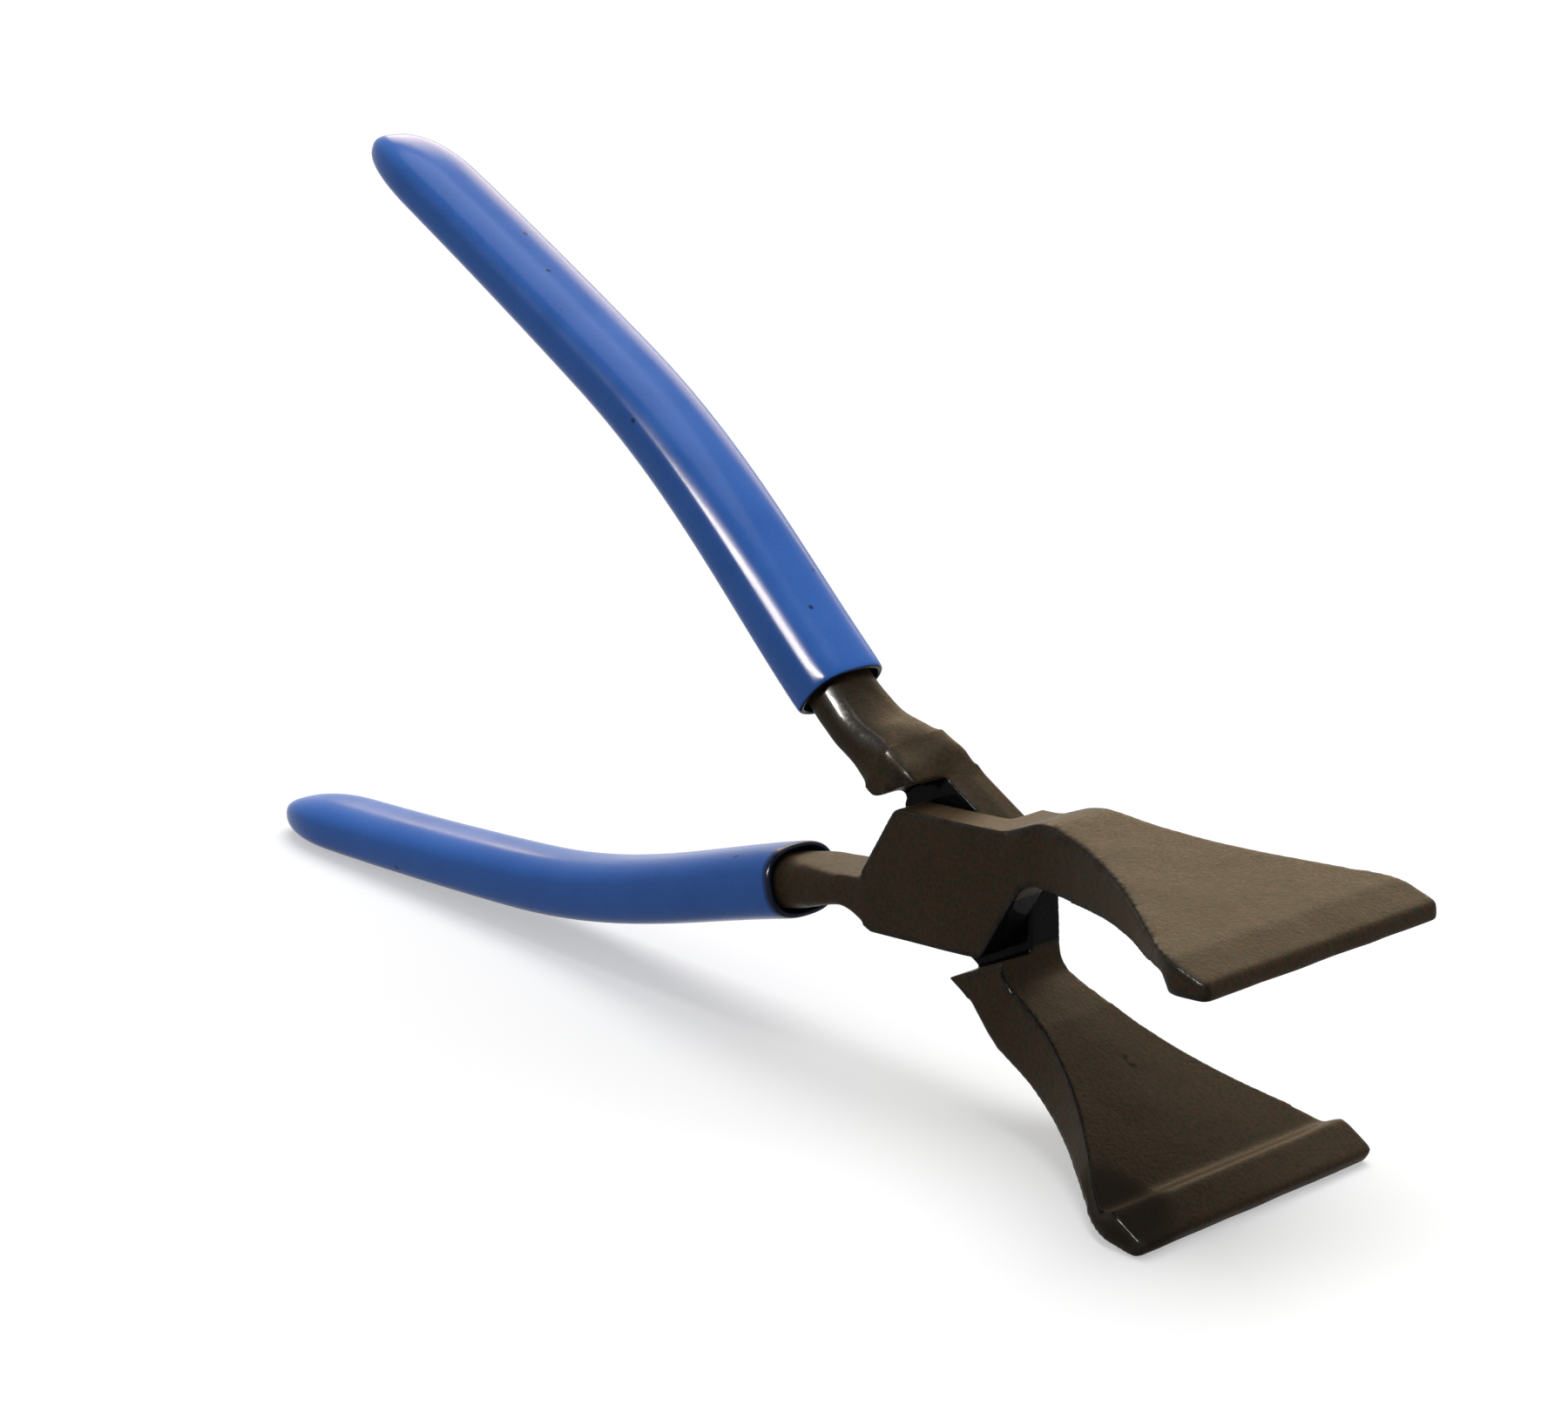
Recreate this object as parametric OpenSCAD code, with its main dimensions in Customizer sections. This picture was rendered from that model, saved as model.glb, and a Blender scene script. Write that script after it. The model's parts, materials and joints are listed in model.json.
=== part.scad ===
// Seaming pliers with a flush lap joint, flared sheet metal jaws and dipped handle sleeves.
// Both halves are the same forging, one turned over about the long axis of the tool.
// Each half is drawn with the pivot at its origin, +X to the jaws and +Z to its jaw's back.

/* [Jaws] */
// Width across the jaws
jaw_w = 60; // [44:1:90]
// Distance from the pivot to the front of the jaws
jaw_reach = 75.4; // [68:0.1:95]
// Length of the flat gripping strip at the front
strip_len = 8; // [4:0.5:12]
// Height of the blunt front face
front_h = 3.3; // [2.2:0.1:4.2]
// Length over which the back of the jaw falls off to the front face
nose_len = 7.6; // [4:0.1:9]
// Height of the jaw over the strip where that fall begins
nose_h = 6.2; // [5.4:0.1:7.6]
// Depth of the hollow behind the gripping strip
hollow = 3.1; // [1:0.1:3.4]
// Length of the slope from the strip up into the hollow
ramp_len = 2.2; // [1:0.1:4]
// Height of the crest of the jaw's back over the strip
crest_h = 16; // [14.5:0.1:18]
// Distance from the pivot to the crest
crest_x = 22.8; // [20:0.1:26]
// Distance over which a jaw flares from the arm to its full width
flare_len = 47; // [38:0.2:50]
// Radius of the jaw's front corners seen from above
corner_r = 1.5; // [0.5:0.1:4]
// Length of the straight sides next to the front corners
side_len = 6.5; // [3:0.5:10]
// Length of the slope from the joint plate up to the crest
saddle_len = 9.4; // [7:0.1:12]

/* [Joint] */
// Thickness of the tool at the joint
joint_t = 15.5; // [13:0.1:20]
// Height of the joint plates over the pivot, on the side of the jaw's back
plate_rise = 12.7; // [10:0.1:13.5]
// Depth of the joint plates under the pivot
plate_depth = 10.9; // [10:0.1:13.5]
// Slope of the shoulders on both sides of the lap
shoulder_a = 55.5; // [48:0.5:60]
// Distance from the pivot to the shoulder on the jaw side
front_shoulder = 14.3; // [14:0.1:17]
// Distance from the pivot to the shoulder on the handle side
rear_shoulder = 18.5; // [16:0.1:20]
// Space between a plate's edge and the shoulder that it faces when shut
stop_gap = 1.8; // [1:0.1:2.4]
// Space between the two lap faces
lap_gap = 0.16; // [0.1:0.02:0.4]
// Radius of the rounded corner on the plate's handle side
plate_r = 2.4; // [1:0.1:6]
// Height of the arch in the throat over the strip
throat_h = 4.2; // [3.4:0.1:5]
// Length of the swell from the neck down to the plate's lower edge
swell_len = 6.2; // [6:0.1:11]

/* [Pivot rivet] */
// Diameter of the rivet's shank
rivet_d = 8; // [6:0.1:10]
// Diameter of the countersunk rivet heads
rivet_head_d = 12; // [10.5:0.1:14]
// Depth of a countersunk rivet head
rivet_head_h = 2; // [1:0.1:3]
// Running clearance round the rivet
rivet_gap = 0.05; // [0.03:0.01:0.1]

/* [Handles] */
// Distance from the pivot to the ends of the handles
handle_reach = 192; // [160:1:230]
// How far a handle bows out from the long axis
handle_bow = 19.6; // [16:0.1:25]
// Distance from the pivot to the widest place of the bow
bow_x = 117.5; // [105:0.5:130]
// Distance of a handle's end from the long axis
tip_drop = 17.8; // [12:0.1:25]
// Width of the neck and tang along the pivot's axis
tang_w = 14.4; // [11:0.1:14.8]
// Height of the neck where it leaves the joint
neck_h = 6.4; // [5.6:0.1:8]
// Depth of the neck's upper face below the pivot
neck_drop = 1.4; // [0:0.1:2.5]
// Height of the tang where it enters the sleeve
tang_h = 10.2; // [9:0.1:12.5]
// Width of the tang at its end
tang_end_w = 14; // [10:0.1:14.8]
// Height of the tang at its end
tang_end_h = 6.8; // [5:0.1:11]

/* [Sleeves] */
// Distance from the pivot to the open end of a sleeve
sleeve_from = 41.8; // [36:0.2:48]
// Wall thickness of a sleeve
sleeve_wall = 1.5; // [1:0.1:1.6]
// Space between a sleeve and its tang
sleeve_gap = 0.15; // [0.1:0.01:0.3]
// Space between the open end of a sleeve and the middle of the tool when shut
rim_space = 0.25; // [0.15:0.05:1]
// Length of the rounded closed end of a sleeve
dome_len = 18.6; // [12:0.2:24]

/* [Pose] */
// Angle between the jaws as drawn
opening = 33.9; // [20:0.1:40]
// Space left between the gripping strips when shut
shut_gap = 0.2; // [0.1:0.05:0.6]

/* [Hidden] */
half_t = joint_t / 2;
strip_z = shut_gap / 2;
slack = 1;
recess_reach = 3 * plate_rise;
arc_steps = 8;
curve_steps = 16;
ring_sides = 24;
grip_squareness = 2.6;
neck_squareness = 8;
inset = 0.1;

// Lines that the shoulders and plate edges lie on, as distance from the pivot and slope
front_edge = front_shoulder - stop_gap;
rear_edge = rear_shoulder - stop_gap;
function edge_x(d, z) = (d + cos(shoulder_a) * z) / sin(shoulder_a);

// Rounded outlines
function unit(v) = v / norm(v);
function turn(v, a) = [v.x * cos(a) - v.y * sin(a), v.x * sin(a) + v.y * cos(a)];
function corner(a, b, c, r) =
    let (u = unit(a - b), v = unit(c - b), half = acos(u * v) / 2)
    let (centre = b + unit(u + v) * r / sin(half), from = b + u * r / tan(half) - centre)
    let (to = b + v * r / tan(half) - centre, cross_z = from.x * to.y - from.y * to.x)
    [for (i = [0:arc_steps]) centre + turn(from, sign(cross_z) * (180 - 2 * half) * i / arc_steps)];
function flat(p) = [p.x, p.y];
function rounded(path) =
    let (n = len(path))
    [for (i = [0:n - 1])
        let (p = path[i], before = flat(path[(i + n - 1) % n]), after = flat(path[(i + 1) % n]))
        each p[2] > 0 ? corner(before, flat(p), after, p[2]) : [flat(p)]];
function bezier(p, t) =
    pow(1 - t, 3) * p[0] + 3 * t * pow(1 - t, 2) * p[1] + 3 * t * t * (1 - t) * p[2] + pow(t, 3) * p[3];

// Side outline of the forging: each corner is x, z and the radius that rounds it
neck_x = 27;
swell_back = 2.4;
swell_x = swell_back - neck_x;
back_x = jaw_reach - strip_len;
lip_r = 0.5;
nose_r = 1.5;
nose_back_r = 10;
crest_r = 12;
saddle_r = 8;
neck_r = 1.6;
swell_r = 3;
plate_lip_r = 2;
throat_r = 4.6;
throat_len = 30;
hollow_r = 10;
side_corners = [
    [jaw_reach, strip_z, lip_r],
    [jaw_reach, front_h, nose_r],
    [jaw_reach - nose_len, nose_h, nose_back_r],
    [crest_x, crest_h, crest_r],
    [crest_x - saddle_len, plate_rise, saddle_r],
    [-edge_x(rear_edge, -plate_rise), plate_rise, plate_r],
    [-edge_x(rear_edge, neck_drop), -neck_drop, neck_r],
    [-neck_x, -neck_drop, 0],
    [-neck_x, -neck_drop - neck_h, 0],
    [swell_x, -neck_drop - neck_h, swell_r],
    [swell_x + swell_len, -plate_depth, swell_r],
    [edge_x(front_edge, -plate_depth), -plate_depth, plate_lip_r],
    [edge_x(front_edge, throat_h), throat_h, throat_r],
    [throat_len, strip_z + hollow, hollow_r],
    [back_x - ramp_len, strip_z + hollow, lip_r],
    [back_x, strip_z, lip_r]
];
side_points = rounded(side_corners);

// Top outline of the forging, from the straight arm through the flare to the front corners
flare_end = jaw_reach - side_len;
arm_pull = 0.54;
jaw_pull = 0.18;
arm_swell = 2.3;
jaw_draw = 0.4;
flare = [
    [flare_end - flare_len, half_t],
    [flare_end - (1 - arm_pull) * flare_len, half_t + arm_swell],
    [flare_end - jaw_pull * flare_len, jaw_w / 2 - jaw_draw],
    [flare_end, jaw_w / 2]
];
front_corner = corner([flare_end, jaw_w / 2], [jaw_reach, jaw_w / 2], [jaw_reach, 0], corner_r);
plan_side = concat(
    [[-neck_x - slack, half_t]],
    [for (i = [0:curve_steps]) bezier(flare, i / curve_steps)],
    front_corner
);
plan_points = concat(plan_side, [for (i = [len(plan_side) - 1:-1:0]) [plan_side[i].x, -plan_side[i].y]]);

// Tang: its width and height taper from the sleeve's open end to its own end
end_room = 3;
tang_end = handle_reach - dome_len - end_room;
sleeve_grow = sleeve_gap + sleeve_wall;
function between(a, b, t) = a + (b - a) * t;
function taper(x) = (x - sleeve_from) / (tang_end - sleeve_from);
function tang_size(x) = [between(tang_w, tang_end_w, taper(x)), between(tang_h, tang_end_h, taper(x))];

// Bowed centre line of a handle: 0 to 1 runs from the neck to the bow, 1 to 2 on to the end
tang_x = 24;
neck_z = -neck_drop - neck_h / 2;
neck_pull = 0.33;
bow_pull = 0.4;
bow_run = bow_x - tang_x;
bow_xs = [-tang_x, -tang_x - neck_pull * bow_run, -bow_x + bow_pull * bow_run, -bow_x];
function share_at(x, low = 0, high = 1) =
    let (mid = (low + high) / 2)
    high - low < 0.0001 ? mid : bezier(bow_xs, mid) > x ? share_at(x, mid, high) : share_at(x, low, mid);
// The line starts out at the slope that carries it past the sleeve's open end at the height wanted there
rim_share = share_at(-sleeve_from);
rim_z = -tang_size(sleeve_from)[1] / 2 - sleeve_grow - rim_space;
rim_rest = bezier([neck_z, 0, -handle_bow, -handle_bow], rim_share);
dip_z = (rim_z - rim_rest) / (3 * rim_share * pow(1 - rim_share, 2));
bow_curve = [
    [bow_xs[0], neck_z],
    [bow_xs[1], dip_z],
    [bow_xs[2], -handle_bow],
    [bow_xs[3], -handle_bow]
];
end_run = (handle_reach - bow_x) / 3;
end_curve = [
    [-bow_x, -handle_bow],
    [-bow_x - end_run, -handle_bow],
    [-bow_x - 2 * end_run, -handle_bow + (handle_bow - tip_drop) / 3],
    [-handle_reach, -tip_drop]
];
function handle_point(t) = t < 1 ? bezier(bow_curve, t) : bezier(end_curve, t - 1);
function handle_dir(t) = unit(handle_point(min(t + 0.01, 2)) - handle_point(min(t, 1.99)));
// Place along the centre line that lies a given distance behind the pivot
function place(x, low = 0, high = 2) =
    let (mid = (low + high) / 2)
    high - low < 0.0001 ? mid : -handle_point(mid).x < x ? place(x, mid, high) : place(x, low, mid);

// Oval ring of a given width and height square to the centre line, from round at 2 to square above
function oval(w, h, squareness) = [
    for (i = [0:ring_sides - 1])
        let (a = 360 * (i + 0.5) / ring_sides, c = cos(a), s = sin(a), power = 2 / squareness)
        [sign(c) * pow(abs(c), power) * w / 2, sign(s) * pow(abs(s), power) * h / 2]
];
function ring(t, w, h, squareness = grip_squareness) =
    let (o = handle_point(t), d = handle_dir(t))
    [for (p = oval(w, h, squareness)) [o.x + d.y * p.y, p.x, o.y - d.x * p.y]];

// Neck and tang: width and height as the forging runs back from the joint into the sleeve
neck_w = joint_t - inset;
neck_steps = 6;
tang_steps = 12;
function blend(t) = t * t * (3 - 2 * t);
neck_rings = [
    for (i = [0:neck_steps])
        let (x = between(tang_x, sleeve_from, i / neck_steps))
        let (grown = blend(max(0, (x - neck_x) / (sleeve_from - neck_x))))
        let (w = between(neck_w, tang_w, grown), h = between(neck_h - inset, tang_h, grown))
        ring(place(x), w, h, between(neck_squareness, grip_squareness, grown))
];
// Ring on the tang's outline, grown by a clearance or a wall
function tang_ring(x, grow) = ring(place(x), tang_size(x)[0] + 2 * grow, tang_size(x)[1] + 2 * grow);
tang_rings = [for (i = [1:tang_steps]) tang_ring(between(sleeve_from, tang_end, i / tang_steps), 0)];

// Sleeve: its bore from the closed end to the rim, then its outside from the rim to the dome
bore_end = tang_end + 2 * sleeve_gap;
dome_from = handle_reach - dome_len;
dome_size = tang_size(dome_from) + 2 * sleeve_grow * [1, 1];
dome_steps = 7;
dome_turn = 85;
bore_rings = [
    for (i = [tang_steps:-1:0]) tang_ring(between(sleeve_from, bore_end, i / tang_steps), sleeve_gap)
];
outer_rings = [
    for (i = [0:tang_steps]) tang_ring(between(sleeve_from, dome_from, i / tang_steps), sleeve_grow)
];
dome_rings = [
    for (i = [1:dome_steps])
        let (a = dome_turn * i / dome_steps)
        ring(place(dome_from + dome_len * sin(a) / sin(dome_turn)), dome_size[0] * cos(a), dome_size[1] * cos(a))
];

// Closed skin over a list of rings with the same number of points
function skin_faces(rings) =
    let (n = len(rings[0]), last = (len(rings) - 1) * n)
    concat(
        [[for (k = [n - 1:-1:0]) k]],
        [for (r = [0:len(rings) - 2], k = [0:n - 1])
            let (a = r * n + k, b = r * n + (k + 1) % n)
            each [[a, b + n, a + n], [a, b, b + n]]],
        [[for (k = [0:n - 1]) last + k]]
    );
module skin(rings) {
    polyhedron([for (loop = rings) each loop], skin_faces(rings), convexity = 6);
}

// Resting place: the tool stands on its lower jaw and lower handle, on the plane z = 0
grip_points = [for (loop = concat(outer_rings, dome_rings), p = loop) [p.x, p.z]];
function over(points) = [for (p = points) [p.x, -p.y]];
function swing(points, a) = [for (p = points) turn(p, a)];
function lowest(points) =
    let (low = min([for (p = points) p.y]))
    [for (p = points) if (p.y == low) p][0];
function settle(a, n) =
    let (jaw = lowest(swing(over(side_points), a - opening)), grip = lowest(swing(grip_points, a)))
    n == 0 ? a : settle(a + atan((jaw.y - grip.y) / (grip.x - jaw.x)), n - 1);
lean = settle(0, 6);
half_points = concat(side_points, grip_points);
posed_points = concat(swing(half_points, lean), swing(over(half_points), lean - opening));
floor_z = min([for (p = posed_points) p.y]);
mid_x = (min([for (p = posed_points) p.x]) + max([for (p = posed_points) p.x])) / 2;

module front_place() {
    translate([-mid_x, 0, -floor_z]) rotate([0, -lean, 0]) children();
}
module rear_place() {
    translate([-mid_x, 0, -floor_z]) rotate([0, opening - lean, 0]) rotate([180, 0, 0]) children();
}

// Rivet outline, grown by a clearance for its hole
module rivet_solid(grow) {
    reach = half_t + grow;
    rotate([90, 0, 0])
        rotate_extrude($fn = 96)
            polygon([
                [0, -reach],
                [rivet_head_d / 2 + grow, -reach],
                [rivet_head_d / 2 + grow, -half_t],
                [rivet_d / 2 + grow, -half_t + rivet_head_h],
                [rivet_d / 2 + grow, half_t - rivet_head_h],
                [rivet_head_d / 2 + grow, half_t],
                [rivet_head_d / 2 + grow, reach],
                [0, reach]
            ]);
}

// Space for the other half's plate, between the two shoulders
module lap_recess() {
    rotate([0, shoulder_a - 90, 0])
        translate([-rear_shoulder, -lap_gap / 2, -recess_reach])
            cube([rear_shoulder + front_shoulder, joint_t, 2 * recess_reach]);
}

// One forged half: joint plate, arm and flared jaw in one piece with its neck and tang
module forging() {
    difference() {
        union() {
            intersection() {
                rotate([90, 0, 0])
                    linear_extrude(height = jaw_w + 2 * slack, center = true)
                        polygon(side_points);
                translate([0, 0, -plate_depth - slack])
                    linear_extrude(height = plate_depth + crest_h + 2 * slack)
                        polygon(plan_points);
            }
            skin(concat(neck_rings, tang_rings));
        }
        lap_recess();
        rivet_solid(rivet_gap);
    }
}

// Dipped sleeve with an open rim at the neck and a domed closed end
module sleeve() {
    skin(concat(bore_rings, outer_rings, dome_rings));
}

module front_half() {
    color([0.22, 0.2, 0.16]) front_place() forging();
}
module rear_half() {
    color([0.18, 0.16, 0.13]) rear_place() forging();
}
module pivot_rivet() {
    color([0.26, 0.24, 0.2]) front_place() rivet_solid(0);
}
module front_grip() {
    color([0.19, 0.35, 0.64]) front_place() sleeve();
}
module rear_grip() {
    color([0.22, 0.39, 0.7]) rear_place() sleeve();
}

front_half();
rear_half();
pivot_rivet();
front_grip();
rear_grip();
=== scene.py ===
"""Seaming pliers: two painted forgings on a flush rivet, with dipped blue sleeves on the handles."""
import json
import math

import bmesh
import bpy
from mathutils import Matrix, Vector, noise


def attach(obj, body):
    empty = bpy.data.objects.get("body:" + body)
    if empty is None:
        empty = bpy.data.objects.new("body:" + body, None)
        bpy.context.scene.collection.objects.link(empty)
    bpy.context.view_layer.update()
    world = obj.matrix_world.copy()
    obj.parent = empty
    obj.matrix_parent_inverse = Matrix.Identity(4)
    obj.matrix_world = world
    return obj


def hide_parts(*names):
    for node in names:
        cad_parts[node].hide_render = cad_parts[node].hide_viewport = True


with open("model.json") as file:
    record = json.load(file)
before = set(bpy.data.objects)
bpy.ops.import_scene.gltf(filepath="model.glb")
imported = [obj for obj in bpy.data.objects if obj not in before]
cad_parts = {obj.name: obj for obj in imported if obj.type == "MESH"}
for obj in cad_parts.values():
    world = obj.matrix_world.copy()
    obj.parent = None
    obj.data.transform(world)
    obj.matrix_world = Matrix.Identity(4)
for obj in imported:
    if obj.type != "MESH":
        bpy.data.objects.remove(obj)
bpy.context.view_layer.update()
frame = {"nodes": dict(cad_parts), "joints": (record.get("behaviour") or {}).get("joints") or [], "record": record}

MM = 0.001

# Where the halves lie in the frame: the pivot, how far the front half leans and how wide the jaws open
JOINT = frame["joints"][0]
PIVOT = Vector(JOINT["pos_m"])
OPENING = -math.radians(JOINT["range_deg"][0])
STRIP_AXIS = next(m["axis"] for m in frame["record"]["mounts"] if m["name"] == "lower_strip")
LEAN = OPENING - math.atan2(STRIP_AXIS[0], STRIP_AXIS[2])
FRONT_PLACE = Matrix.Translation(PIVOT) @ Matrix.Rotation(-LEAN, 4, "Y")
REAR_PLACE = (
    Matrix.Translation(PIVOT)
    @ Matrix.Rotation(OPENING - LEAN, 4, "Y")
    @ Matrix.Rotation(math.pi, 4, "X")
)

# Handles, in each half's own frame: pivot at the origin, +X to the jaws and +Z to the jaw's back
NECK_X = 24 * MM
NECK_Z = -4.6 * MM
NECK_PULL = 0.33
DIP_Z = -6.88 * MM
BOW_X = 117.5 * MM
BOW_Z = -19.6 * MM
BOW_PULL = 0.4
TIP_X = 192 * MM
TIP_Z = -17.8 * MM
SQUARENESS = 2.6

# Forgings
JAW_FRONT = 75.4 * MM
CREST_X = 22.8 * MM
CREST_Z = 16 * MM
FRONT_Z = 3.3 * MM
JOINT_T = 15.5 * MM
VOXEL = 0.36 * MM
WELD = 0.002 * MM
PLUG_INSET = 0.04 * MM
HOLE_MARGIN = 1 * MM
HOLE_STEPS = 96
SHARP_ANGLE = math.radians(55)
BACK_FROM_X = 14 * MM
BACK_SHARE = 0.62
EDGE_PASSES = 4
BACK_PASSES = 30
NECK_PASSES = 40
NOSE_FROM_X = 62 * MM
NOSE_PASSES = 10

# The rear half's full shoulder, in millimetres
SHOULDER_FROM_X = -38
SHOULDER_FULL_X = -26
SHOULDER_FADE_X = 1
SHOULDER_TO_X = 8
SHOULDER_Z = -11.9
CROWN_X = -21.5
CROWN = 1.3

# Painted shade in black or dark in the lap, the throat, the jaw's corner and along edges, the rear neck's glossy
# side with painted shade, how much darker the rear neck is, and the nick: the nick's radius and width are in
# millimetres
THROAT_WALL = Vector((0.82, 0, -0.57))
SHADOW_SPOT = Vector((66, 27, 4)) * MM
GLOSS_AND_SHADE_SIDE = Vector((0.10, 0.79, -0.61))
NICK = Vector((41.4, -2.4, 3.3)) * MM
NICK_R = 1.2
NICK_W = 0.3
NICK_DARK = 0.8
SHADOW_SPOT_DARK = 0.95
NECK_DARK = 0.4
LINE_BEND = 0.005

# Hammered skin: how fine its two noises are, and how deep they go in millimetres
BROAD_SCALE = 0.11
DIMPLE_SCALE = 0.3
BROAD_DEPTH = 0.10
DIMPLE_DEPTH = 0.03
NECK_DEPTH = 0.07

# Tangs
TANG_CUT_X = 50 * MM
TANG_END_X = 170.4 * MM
TANG_STATIONS = 10
TANG_FROM_W = 14.4 * MM
TANG_FROM_H = 10.2 * MM
TANG_END_W = 14 * MM
TANG_END_H = 6.8 * MM

# Rivet
RIVET_R = 4 * MM
HEAD_R = 6 * MM
HEAD_DEPTH = 2 * MM
RIVET_GAP = 0.05 * MM

# Sleeves
RIM_X = 41.8 * MM
DOME_LEN = 18.6 * MM
BORE_END_X = 170.7 * MM
SLEEVE_GAP = 0.15 * MM
SLEEVE_WALL = 1.5 * MM
RIM_LIP = 0.7 * MM
TIP_SHIFT = 3.5 * MM
RING_SIDES = 48
BORE_RINGS = 16
OUTSIDE_RINGS = 22
DOME_RINGS = 9
DOME_ANGLE = math.radians(88)
FLARE = 0.25 * MM
FLARE_LEN = 8 * MM

# Camera, as it was fitted to the photograph
IMAGE_WIDTH = 1800
FOCAL_PIXELS = 4373.1
SENSOR = 36.0
CAMERA_PLACE = Vector((0.46883, -0.45975, 0.25325))
CAMERA_AZIMUTH = math.radians(44.95)
CAMERA_ELEVATION = math.radians(16.74)
CAMERA_ROLL = math.radians(1.78)


# Handle centre line

def bezier(corners, t):
    a, b, c, d = corners
    return a * (1 - t) ** 3 + b * 3 * t * (1 - t) ** 2 + c * 3 * t * t * (1 - t) + d * t ** 3


BOW_RUN = BOW_X - NECK_X
END_RUN = (TIP_X - BOW_X) / 3
BOW_CURVE = [
    Vector((-NECK_X, 0, NECK_Z)),
    Vector((-NECK_X - NECK_PULL * BOW_RUN, 0, DIP_Z)),
    Vector((-BOW_X + BOW_PULL * BOW_RUN, 0, BOW_Z)),
    Vector((-BOW_X, 0, BOW_Z)),
]
END_CURVE = [
    Vector((-BOW_X, 0, BOW_Z)),
    Vector((-BOW_X - END_RUN, 0, BOW_Z)),
    Vector((-BOW_X - 2 * END_RUN, 0, BOW_Z + (TIP_Z - BOW_Z) / 3)),
    Vector((-TIP_X, 0, TIP_Z)),
]


def handle_point(t):
    """Point of the centre line: t is 0 at the neck, 1 at the bow and 2 at the tip."""
    return bezier(BOW_CURVE, t) if t < 1 else bezier(END_CURVE, t - 1)


def handle_direction(t):
    return (handle_point(min(t + 0.01, 2)) - handle_point(min(t, 1.99))).normalized()


def place_on_handle(x):
    """Parameter of the centre line's point that lies a given distance behind the pivot."""
    low, high = 0.0, 2.0
    for _ in range(24):
        middle = (low + high) / 2
        if -handle_point(middle).x < x:
            low = middle
        else:
            high = middle
    return low


def tang_size(x):
    """Width and height of the tang, which tapers from the sleeve's rim to its own end."""
    share = (x - RIM_X) / (TANG_END_X - RIM_X)
    width = TANG_FROM_W + (TANG_END_W - TANG_FROM_W) * share
    height = TANG_FROM_H + (TANG_END_H - TANG_FROM_H) * share
    return width, height


def oval(angle, width, height):
    """Point of the handle's rounded section, with its width along Y and its height across the handle."""
    c, s = math.cos(angle), math.sin(angle)
    y = math.copysign(abs(c) ** (2 / SQUARENESS), c) * width / 2
    z = math.copysign(abs(s) ** (2 / SQUARENESS), s) * height / 2
    return y, z


def section_frame(x):
    """Matrix that puts a section on the handle: its X runs on to the handle's end."""
    t = place_on_handle(x)
    along = handle_direction(t)
    across = Vector((along.z, 0, -along.x))
    turn = Matrix((along, (0, 1, 0), across)).transposed().to_4x4()
    return Matrix.Translation(handle_point(t)) @ turn


# Meshes

def object_of(name, bm):
    """New object at the origin that holds a finished bmesh."""
    mesh = bpy.data.meshes.new(name)
    bm.to_mesh(mesh)
    bm.free()
    made = bpy.data.objects.new(name, mesh)
    bpy.context.scene.collection.objects.link(made)
    return made


def bake_modifiers(piece):
    """Replaces the piece's mesh by what its modifiers make of it."""
    depsgraph = bpy.context.evaluated_depsgraph_get()
    baked = bpy.data.meshes.new_from_object(piece.evaluated_get(depsgraph))
    baked.name = piece.name
    piece.modifiers.clear()
    piece.data = baked


def smooth(bm, verts, passes):
    for _ in range(passes):
        bmesh.ops.smooth_vert(
            bm, verts=verts, factor=0.5, use_axis_x=True, use_axis_y=True, use_axis_z=True
        )


def open_rim(bm):
    return [e for e in bm.edges if e.is_boundary]


def turned_profile(bm, profile, steps):
    """Spins a profile of (distance along Y, radius) points about the pivot's axis into a closed solid."""
    verts = [bm.verts.new((radius, y, 0)) for y, radius in profile]
    edges = [bm.edges.new(pair) for pair in zip(verts, verts[1:])]
    bmesh.ops.spin(
        bm,
        geom=verts + edges,
        cent=(0, 0, 0),
        axis=(0, 1, 0),
        angle=math.tau,
        steps=steps,
        use_merge=True,
    )
    bmesh.ops.remove_doubles(bm, verts=bm.verts, dist=WELD)
    bmesh.ops.recalc_face_normals(bm, faces=bm.faces)


def hole_cutter():
    """The rivet's countersunk hole as a solid, in a half's own frame."""
    half = JOINT_T / 2
    reach = half + HOLE_MARGIN
    profile = [
        (-reach, 0),
        (-reach, HEAD_R + RIVET_GAP),
        (-half, HEAD_R + RIVET_GAP),
        (-half + HEAD_DEPTH, RIVET_R + RIVET_GAP),
        (half - HEAD_DEPTH, RIVET_R + RIVET_GAP),
        (half, HEAD_R + RIVET_GAP),
        (reach, HEAD_R + RIVET_GAP),
        (reach, 0),
    ]
    bm = bmesh.new()
    turned_profile(bm, profile, HOLE_STEPS)
    return object_of("hole_cutter", bm)


def step(value, low, high):
    """Smooth step from 0 to 1 as the value goes from low to high."""
    t = min(max((value - low) / (high - low), 0), 1)
    return t * t * (3 - 2 * t)


def back_line(x):
    """Height of the jaw's back over the pivot at a distance from it."""
    return CREST_Z + (FRONT_Z - CREST_Z) * (x - CREST_X) / (JAW_FRONT - CREST_X)


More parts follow.
